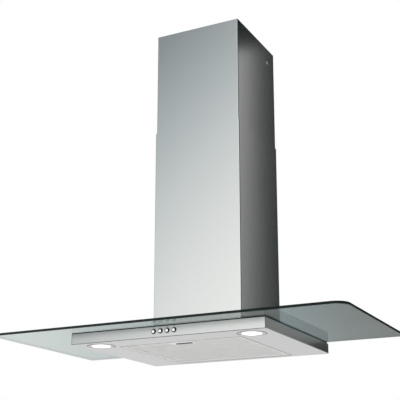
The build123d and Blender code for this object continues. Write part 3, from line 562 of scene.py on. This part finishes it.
# ---------------------------------------------------------------- push buttons
# Four round buttons stand in holes of the fascia. Each has a skirt and a thinner stem that runs back to its
# switch, and a polished metal cap pressed on. The black of the skirt is painted shade, standing in for the
# dark side wall of the button.
# Painted shade: the skirt is glossy black so that the side of each button reads dark.
button_skirt_shade = Finish("polished_black_button", IOR=1.5)
button_haze = button_skirt_shade.noise(scale=220.0, detail=3.0)
button_tone = button_skirt_shade.blend(button_haze, (0.004, 0.004, 0.005, 1), (0.012, 0.012, 0.013, 1))
button_skirt_shade.feed("Base Color", button_tone)
button_skirt_shade.feed("Roughness", 0.18 + 0.10 * button_haze)
cap_metal = Finish("polished_button_cap", Metallic=1.0)
cap_haze = cap_metal.noise(scale=300.0, detail=3.0)
cap_metal.feed("Base Color", cap_metal.blend(cap_haze, (0.86, 0.86, 0.86, 1), (0.93, 0.93, 0.925, 1)))
cap_metal.feed("Roughness", 0.12 + 0.06 * cap_haze)
cap_share = 0.60
cap_crown = 0.00015
cap_depth = 0.0014
cap_round = 0.0004
cap_seat = 0.0010
shoulder_depth = 0.0030
skirt_length = 0.008
stem_radius = 0.003
button_sides = 40
button_crease = math.radians(30)


def closed_piece(label, shell, material):
    """Turn a drawn shell into a piece at the origin, with its faces outwards."""
    bmesh.ops.recalc_face_normals(shell, faces=shell.faces)
    mesh = bpy.data.meshes.new(label)
    shell.to_mesh(mesh)
    shell.free()
    mesh.materials.append(material)
    piece = bpy.data.objects.new(label, mesh)
    scene.collection.objects.link(piece)
    return piece


def ring_points(across, along, radius, sides):
    """Points round a circle, given in the two directions of its plane."""
    turns = [math.tau * i / sides for i in range(sides)]
    return [(across + radius * math.cos(turn), along + radius * math.sin(turn)) for turn in turns]


def turned_piece(label, outline, sides, place, material):
    """A closed solid turned about a line parallel to Y, from (radius, y) points tip to tip."""
    shell = bmesh.new()
    rings = []
    for radius, y in outline:
        spots = ring_points(place.x, place.z, radius, sides if radius else 1)
        rings.append([shell.verts.new((x, y, z)) for x, z in spots])
    for first, second in zip(rings, rings[1:]):
        for i in range(sides):
            j = (i + 1) % sides
            lower = [first[i % len(first)], first[j % len(first)]]
            upper = [second[j % len(second)], second[i % len(second)]]
            shell.faces.new(list(dict.fromkeys(lower + upper)))
    for face in shell.faces:
        face.smooth = True
    return closed_piece(label, shell, material)


for use in ("light", "low", "medium", "high"):
    node = "button_" + use
    low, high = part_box(node)
    middle = (low + high) / 2
    skirt_radius = (high.x - low.x) / 2
    skirt_end = low.y + skirt_length
    cap_radius = cap_share * skirt_radius
    skirt = [
        (0.0, low.y + cap_seat),
        (cap_radius, low.y + cap_seat),
        (skirt_radius, low.y + shoulder_depth),
        (skirt_radius, skirt_end),
        (stem_radius, skirt_end),
        (stem_radius, high.y),
        (0.0, high.y),
    ]
    cap = [
        (0.0, low.y),
        (cap_radius - cap_round, low.y + cap_crown),
        (cap_radius, low.y + cap_crown + cap_round),
        (cap_radius, low.y + cap_depth),
        (0.0, low.y + cap_depth),
    ]
    for label, outline, finish in (("button_body_", skirt, button_skirt_shade), ("button_cap_", cap, cap_metal)):
        piece = turned_piece(label + use, outline, button_sides, middle, finish.material)
        crease = piece.modifiers.new("crease", "EDGE_SPLIT")
        crease.split_angle = button_crease
        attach(piece, use + "_button")
        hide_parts(node)

# ---------------------------------------------------------------- button marks
# Plain marks above the buttons, etched and filled with a dark ink that stands a hair proud:
# a small ring for the lamps, and one, two or three bars for the three speeds of the fan.
mark_ink = Finish("etched_mark")
mark_wear = mark_ink.noise(scale=900.0, detail=2.0)
mark_ink.feed("Base Color", mark_ink.blend(mark_wear, (0.10, 0.10, 0.11, 1), (0.24, 0.24, 0.25, 1)))
mark_ink.feed("Roughness", 0.45 + 0.2 * mark_wear)
mark_bar_width = 0.0007
mark_bar_height = 0.0028
mark_bar_pitch = 0.0015
mark_ring_radius = 0.0014
mark_ring_width = 0.0005
mark_rise = 0.0092
mark_proud = 0.00005
mark_sides = 24


def mark_patch(shell, points, front):
    """One flat patch of the mark, facing the room."""
    shell.faces.new([shell.verts.new((x, front, z)) for x, z in points])


for bars, use in enumerate(("light", "low", "medium", "high")):
    low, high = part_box("button_" + use)
    middle_x = (low.x + high.x) / 2
    middle_z = (low.z + high.z) / 2 + mark_rise
    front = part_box("front_fascia")[0].y - mark_proud
    shell = bmesh.new()
    if bars == 0:
        outer_ring = ring_points(middle_x, middle_z, mark_ring_radius, mark_sides)
        inner_ring = ring_points(middle_x, middle_z, mark_ring_radius - mark_ring_width, mark_sides)
        for i in range(mark_sides):
            j = (i + 1) % mark_sides
            mark_patch(shell, [outer_ring[i], outer_ring[j], inner_ring[j], inner_ring[i]], front)
    for bar in range(bars):
        x = middle_x + (bar - (bars - 1) / 2) * mark_bar_pitch
        left = x - mark_bar_width / 2
        right = x + mark_bar_width / 2
        bottom = middle_z - mark_bar_height / 2
        top = middle_z + mark_bar_height / 2
        mark_patch(shell, [(left, bottom), (right, bottom), (right, top), (left, top)], front)
    bmesh.ops.remove_doubles(shell, verts=shell.verts, dist=1e-7)
    bmesh.ops.solidify(shell, geom=shell.faces[:], thickness=mark_proud)
    mark = closed_piece("mark_" + use, shell, mark_ink.material)
    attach(mark, "hood")

# ---------------------------------------------------------------- seam of the fascia
# The fascia meets the folded pan at a seam. A thin black strip along its lower edge and up its two ends is
# painted shade, standing in for the shadow in that seam.
seam_shade_width = 0.0011
seam_shade_proud = 0.00012
fascia_low, fascia_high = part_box("front_fascia")


def flat_strip(shell, low, high):
    """A thin closed strip between two opposite corners."""
    made = bmesh.ops.create_cube(shell, size=1.0)["verts"]
    centre = (Vector(low) + Vector(high)) / 2
    extent = Vector(high) - Vector(low)
    for corner in made:
        corner.co = Vector([corner.co[i] * extent[i] + centre[i] for i in range(3)])


seam_shade_shell = bmesh.new()
seam_shade_front = fascia_low.y - seam_shade_proud
flat_strip(
    seam_shade_shell,
    (fascia_low.x, seam_shade_front, fascia_low.z),
    (fascia_high.x, fascia_low.y + seam_shade_proud, fascia_low.z + seam_shade_width),
)
for x in (fascia_low.x, fascia_high.x - seam_shade_width):
    flat_strip(
        seam_shade_shell,
        (x, seam_shade_front, fascia_low.z + seam_shade_width),
        (x + seam_shade_width, fascia_low.y + seam_shade_proud, fascia_high.z),
    )
seam_shade_strip = closed_piece("fascia_seam_shade", seam_shade_shell, rubber.material)
ease = seam_shade_strip.modifiers.new("eased_edges", "BEVEL")
ease.width = seam_shade_proud / 2
ease.segments = 2
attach(seam_shade_strip, "hood")

# ---------------------------------------------------------------- finger slot, painted shade
# A black rim in the finger slot of the filter and the black sprung tab behind it are painted shade: they
# stand in for the dark hollow of the slot.
rim_half_length = 0.0222
rim_half_width = 0.0040
rim_wall = 0.0013
rim_drop = 0.0007
rim_grip = 0.0006
rim_turns = 8
slot_from_front = 0.0245
slot_middle_y = frame_low.y + slot_from_front


def closed_frame(label, loops, material):
    """A closed frame of four loops of points, joined in turn and back to the first."""
    shell = bmesh.new()
    rings = [[shell.verts.new(point) for point in loop] for loop in loops]
    for first, second in zip(rings, rings[1:] + rings[:1]):
        for i in range(len(first)):
            j = (i + 1) % len(first)
            shell.faces.new([first[i], first[j], second[j], second[i]])
    return closed_piece(label, shell, material)


def rim_path(half_length, half_width, z):
    """Points of a slot outline with round ends, seen from below."""
    points = []
    for side in (1, -1):
        for step in range(rim_turns + 1):
            turn = side * math.pi / 2 - math.pi * step / rim_turns
            x = side * (half_length - half_width) + half_width * math.cos(turn)
            points.append((x, slot_middle_y + half_width * math.sin(turn), z))
    return points


rim_bottom = frame_low.z - rim_drop
rim_top = frame_low.z + rim_grip
rim_loops = [
    rim_path(rim_half_length, rim_half_width, rim_top),
    rim_path(rim_half_length, rim_half_width, rim_bottom),
    rim_path(rim_half_length - rim_wall, rim_half_width - rim_wall, rim_bottom),
    rim_path(rim_half_length - rim_wall, rim_half_width - rim_wall, rim_top),
]
rim = closed_frame("finger_slot_shade_rim", rim_loops, black_plastic)
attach(rim, "filter")
# Painted shade: the latch is dressed black so that the slot behind the rim reads dark.
dress(black_plastic, "filter_latch")

# ---------------------------------------------------------------- shadow gaps of the openings
# A thin black band under the pan round the filter opening and round the two lamp holes is painted shadow:
# it stands in for the dark gap round the cassette and round each lamp cover.
shadow_band_width = 0.0012
shadow_band_proud = 0.0002
shadow_band_gap = 0.0006
band_corner_turns = 6
band_sides = 72
pan_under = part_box("body_pan")[0].z


def shadow_gap_band(label, outline, outer):
    """A flat closed band under the pan between two outlines of as many points."""
    under = pan_under - shadow_band_proud
    loops = []
    for points, z in ((outline, pan_under), (outline, under), (outer, under), (outer, pan_under)):
        loops.append([(x, y, z) for x, y in points])
    band = closed_frame(label, loops, rubber.material)
    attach(band, "hood")


def rounded_corners(low, high, grow):
    """Points round an upright rectangle whose corners are rounded as far as it has grown."""
    points = []
    for x, y, start in ((high.x, high.y, 0), (low.x, high.y, 1), (low.x, low.y, 2), (high.x, low.y, 3)):
        for step in range(band_corner_turns + 1):
            turn = math.pi / 2 * (start + step / band_corner_turns)
            points.append((x + grow * math.cos(turn), y + grow * math.sin(turn)))
    return points


shadow_gap_band(
    "filter_shadow_gap",
    rounded_corners(frame_low, frame_high, shadow_band_gap),
    rounded_corners(frame_low, frame_high, shadow_band_gap + shadow_band_width),
)
for side in ("left", "right"):
    low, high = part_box("lamp_ring_" + side)
    middle = (low + high) / 2
    cover_radius = (high.x - low.x) / 2
    hole_radius = cover_radius + shadow_band_gap / 2
    circle = ring_points(middle.x, middle.y, hole_radius, band_sides)
    outer_circle = ring_points(middle.x, middle.y, hole_radius + shadow_band_width, band_sides)
    shadow_gap_band("lamp_shadow_gap_" + side, circle, outer_circle)

# ---------------------------------------------------------------- rails of the cassette
# The left and right sides of the cassette are folded back on themselves, which leaves a
# bright rolled rail along each of them. A narrower one runs along the rear.
rail_width = 0.0030
rail_proud = 0.0005
rail_inset = 0.0002
rear_rail_width = 0.0016
rail_roll_share = 0.8
rail_finish = Finish("bright_rolled_rail", Metallic=1.0)
rail_draw = rail_finish.noise(scale=1.0, detail=2.0, roughness=0.5, stretch=(500.0, 8.0, 500.0))
rail_finish.feed("Base Color", rail_finish.blend(rail_draw, (0.90, 0.90, 0.895, 1), (0.97, 0.97, 0.965, 1)))
rail_finish.feed("Roughness", 0.16 + 0.08 * rail_draw)
rail_shell = bmesh.new()
rail_bottom = frame_low.z - rail_proud
left_start = frame_low.x + rail_inset
right_end = frame_high.x - rail_inset
rail_front = frame_low.y + rail_inset
rail_rear = frame_high.y - rail_inset
for start, end in ((left_start, left_start + rail_width), (right_end - rail_width, right_end)):
    flat_strip(rail_shell, (start, rail_front, rail_bottom), (end, rail_rear, frame_low.z + rail_proud))
flat_strip(
    rail_shell,
    (left_start + rail_width, rail_rear - rear_rail_width, rail_bottom + rail_proud / 2),
    (right_end - rail_width, rail_rear, frame_low.z + rail_proud),
)
rails = closed_piece("cassette_rails", rail_shell, rail_finish.material)
rolled = rails.modifiers.new("rolled_edges", "BEVEL")
rolled.width = rail_proud * rail_roll_share
rolled.segments = 3
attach(rails, "filter")

# ---------------------------------------------------------------- lamp rings
# The lamp covers are turned steel rings with a satin chrome face, sprung into the pan.
chrome = Finish("satin_chrome_ring", Metallic=1.0)
wipe = chrome.noise(scale=40.0, detail=4.0, roughness=0.65, stretch=(1.0, 1.0, 3.0))
chrome.feed("Base Color", chrome.blend(wipe, (0.42, 0.42, 0.42, 1), (0.56, 0.56, 0.555, 1)))
chrome.feed("Roughness", 0.24 + 0.08 * wipe)
dress(chrome.material, "lamp_ring_left", "lamp_ring_right")

# ---------------------------------------------------------------- lamps
# Halogen lamps sit in pressed aluminium cups over the holes of the pan. Each cover holds a
# frosted lens, which glows evenly.
lens_glow = 1.2
lens = Finish("frosted_lens", Emission_Strength=lens_glow)
lens_cloud = lens.noise(scale=60.0, detail=2.0)
lens.feed("Base Color", lens.blend(lens_cloud, (0.85, 0.85, 0.84, 1), (0.95, 0.95, 0.94, 1)))
lens.feed("Emission Color", lens.blend(lens_cloud, (1.0, 0.985, 0.955, 1), (1.0, 1.0, 0.985, 1)))
lens.feed("Roughness", 0.35 + 0.2 * lens_cloud)
dress(lens.material, "lamp_lens_left", "lamp_lens_right")

bulb = Finish("bulb_glass_and_base", IOR=1.5)
bulb_cloud = bulb.noise(scale=120.0, detail=3.0)
bulb.feed("Base Color", bulb.blend(bulb_cloud, (0.80, 0.80, 0.78, 1), (0.92, 0.92, 0.90, 1)))
bulb.feed("Roughness", 0.10 + 0.25 * bulb_cloud)
dress(bulb.material, "lamp_bulb_left", "lamp_bulb_right")
dress(filter_alloy.material, "lamp_holder_left", "lamp_holder_right")

# ---------------------------------------------------------------- screws
# Zinc-plated pan-head screws with a cross recess hold the duct collar, the motor bracket,
# the glass sandwich and the upper cover. The clamp screws end in six-sided nuts.
fixing = Finish("zinc_plated_fixings", Metallic=1.0)
fixing_cloud = fixing.noise(scale=500.0, detail=3.0)
fixing.feed("Base Color", fixing.blend(fixing_cloud, (0.52, 0.53, 0.55, 1), (0.72, 0.73, 0.74, 1)))
fixing.feed("Roughness", 0.22 + 0.2 * fixing_cloud)
dress(fixing.material, "clamp_nuts")

screw_tree = Growth("pan_head_screw", {
    "Head Radius": "NodeSocketFloat",
    "Head Height": "NodeSocketFloat",
    "Shank Radius": "NodeSocketFloat",
    "Shank Length": "NodeSocketFloat",
    "Aim": "NodeSocketVector",
})
head_radius = screw_tree.size("Head Radius")
head_height = screw_tree.size("Head Height")
shank_length = screw_tree.size("Shank Length")
head_sockets = {
    "Vertices": 32,
    "Side Segments": 2,
    "Fill Segments": 4,
    "Radius": head_radius,
    "Depth": head_height,
}
blank = screw_tree.add("GeometryNodeMeshCylinder", {"fill_type": "TRIANGLE_FAN"}, head_sockets)
spot = screw_tree.add("ShaderNodeSeparateXYZ", None, {0: screw_tree.add("GeometryNodeInputPosition")})
reach_squared = spot.wire("X") * spot.wire("X") + spot.wire("Y") * spot.wire("Y")
rim_squared = head_radius * head_radius
share_sockets = {0: reach_squared, 1: rim_squared}
share_squared = screw_tree.add("ShaderNodeMath", {"operation": "DIVIDE"}, share_sockets).wire()
on_top = spot.wire("Z") > 0.0
crown_drop = -0.45
drop = crown_drop * head_height * share_squared * on_top
lift = screw_tree.add("ShaderNodeCombineXYZ", None, {"Z": drop + head_height * 0.5})
domed = screw_tree.add("GeometryNodeSetPosition", None, {"Geometry": blank, "Offset": lift})
recess_length = head_radius * 1.15
recess_width = head_radius * 0.24
recess_lift = head_height * 1.05
slot_sockets = {"X": recess_length, "Y": recess_width, "Z": head_height}
cross_sockets = {"X": recess_width, "Y": recess_length, "Z": head_height}
slot_size = screw_tree.add("ShaderNodeCombineXYZ", None, slot_sockets)
cross_size = screw_tree.add("ShaderNodeCombineXYZ", None, cross_sockets)
slot_cut = screw_tree.add("GeometryNodeMeshCube", None, {"Size": slot_size})
cross_cut = screw_tree.add("GeometryNodeMeshCube", None, {"Size": cross_size})
cut_lift = screw_tree.add("ShaderNodeCombineXYZ", None, {"Z": recess_lift})
high_slot = screw_tree.add("GeometryNodeTransform", None, {"Geometry": slot_cut, "Translation": cut_lift})
high_cross = screw_tree.add("GeometryNodeTransform", None, {"Geometry": cross_cut, "Translation": cut_lift})
exact_cut = {"operation": "DIFFERENCE", "solver": "EXACT"}
first_cut = screw_tree.add("GeometryNodeMeshBoolean", exact_cut, {0: domed, 1: high_slot})
recessed = screw_tree.add("GeometryNodeMeshBoolean", exact_cut, {0: first_cut, 1: high_cross})
shank_sockets = {"Vertices": 20, "Radius": screw_tree.size("Shank Radius"), "Depth": shank_length}
shank = screw_tree.add("GeometryNodeMeshCylinder", {"fill_type": "TRIANGLE_FAN"}, shank_sockets)
shank_drop = screw_tree.add("ShaderNodeCombineXYZ", None, {"Z": shank_length * -0.5})
low_shank = screw_tree.add("GeometryNodeTransform", None, {"Geometry": shank, "Translation": shank_drop})
whole = screw_tree.add("GeometryNodeJoinGeometry", None, {0: recessed})
screw_tree.tree.links.new(low_shank.wire().socket, whole.node.inputs[0])
screws_set = screw_tree.add("GeometryNodeInstanceOnPoints", None, {
    "Points": screw_tree.size("Geometry"),
    "Instance": whole,
    "Rotation": screw_tree.size("Aim"),
})
screw_tree.end(screws_set, fixing.material)


def solid_boxes(label):
    """The box of each separate solid in a CAD node, found by joining its loose triangles."""
    shell = bmesh.new()
    shell.from_mesh(cad_nodes[label].data)
    bmesh.ops.remove_doubles(shell, verts=shell.verts, dist=1e-6)
    left = set(shell.verts)
    boxes = []
    while left:
        group = [left.pop()]
        for corner in group:
            for edge in corner.link_edges:
                other = edge.other_vert(corner)
                if other in left:
                    left.remove(other)
                    group.append(other)
        places = [corner.co for corner in group]
        low = Vector([min(place[axis] for place in places) for axis in range(3)])
        high = Vector([max(place[axis] for place in places) for axis in range(3)])
        boxes.append((low, high))
    shell.free()
    return sorted(boxes, key=lambda box: tuple(box[0]))


def set_screws(node, body, head_radius, head_height, shank_radius, aims):
    """Replace a CAD node of plain screws by real ones, each group with its own direction."""
    for suffix, aim, chosen in aims:
        turn = aim.to_track_quat("Z", "Y").to_euler()
        points = []
        length = 0.0
        for low, high in solid_boxes(node):
            if chosen(low, high):
                middle = (low + high) / 2
                axis = max(range(3), key=lambda i: abs(aim[i]))
                seat = middle.copy()
                seat[axis] = high[axis] - head_height if aim[axis] > 0 else low[axis] + head_height
                length = high[axis] - low[axis] - head_height
                points.append(tuple(seat))
        piece = grown_piece(node + suffix, screw_tree.tree, {
            "Head Radius": head_radius,
            "Head Height": head_height,
            "Shank Radius": shank_radius,
            "Shank Length": length,
            "Aim": tuple(turn),
        }, points)
        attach(piece, body)
        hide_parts(node)


def every(low, high):
    """All the screws of a node point the same way."""
    return True


set_screws("clamp_screws", "hood", 0.0040, 0.0024, 0.0020, [("_crossed", Vector((0, 0, 1)), every)])
set_screws("collar_screws", "hood", 0.0034, 0.0018, 0.0018, [("_crossed", Vector((0, 0, 1)), every)])
set_screws("bracket_screws", "hood", 0.0030, 0.0015, 0.0015, [("_crossed", Vector((-1, 0, 0)), every)])
set_screws("upper_screws", "upper_cover", 0.0040, 0.0016, 0.0020, [
    ("_left", Vector((-1, 0, 0)), lambda low, high: high.x < 0),
    ("_right", Vector((1, 0, 0)), lambda low, high: low.x > 0),
])
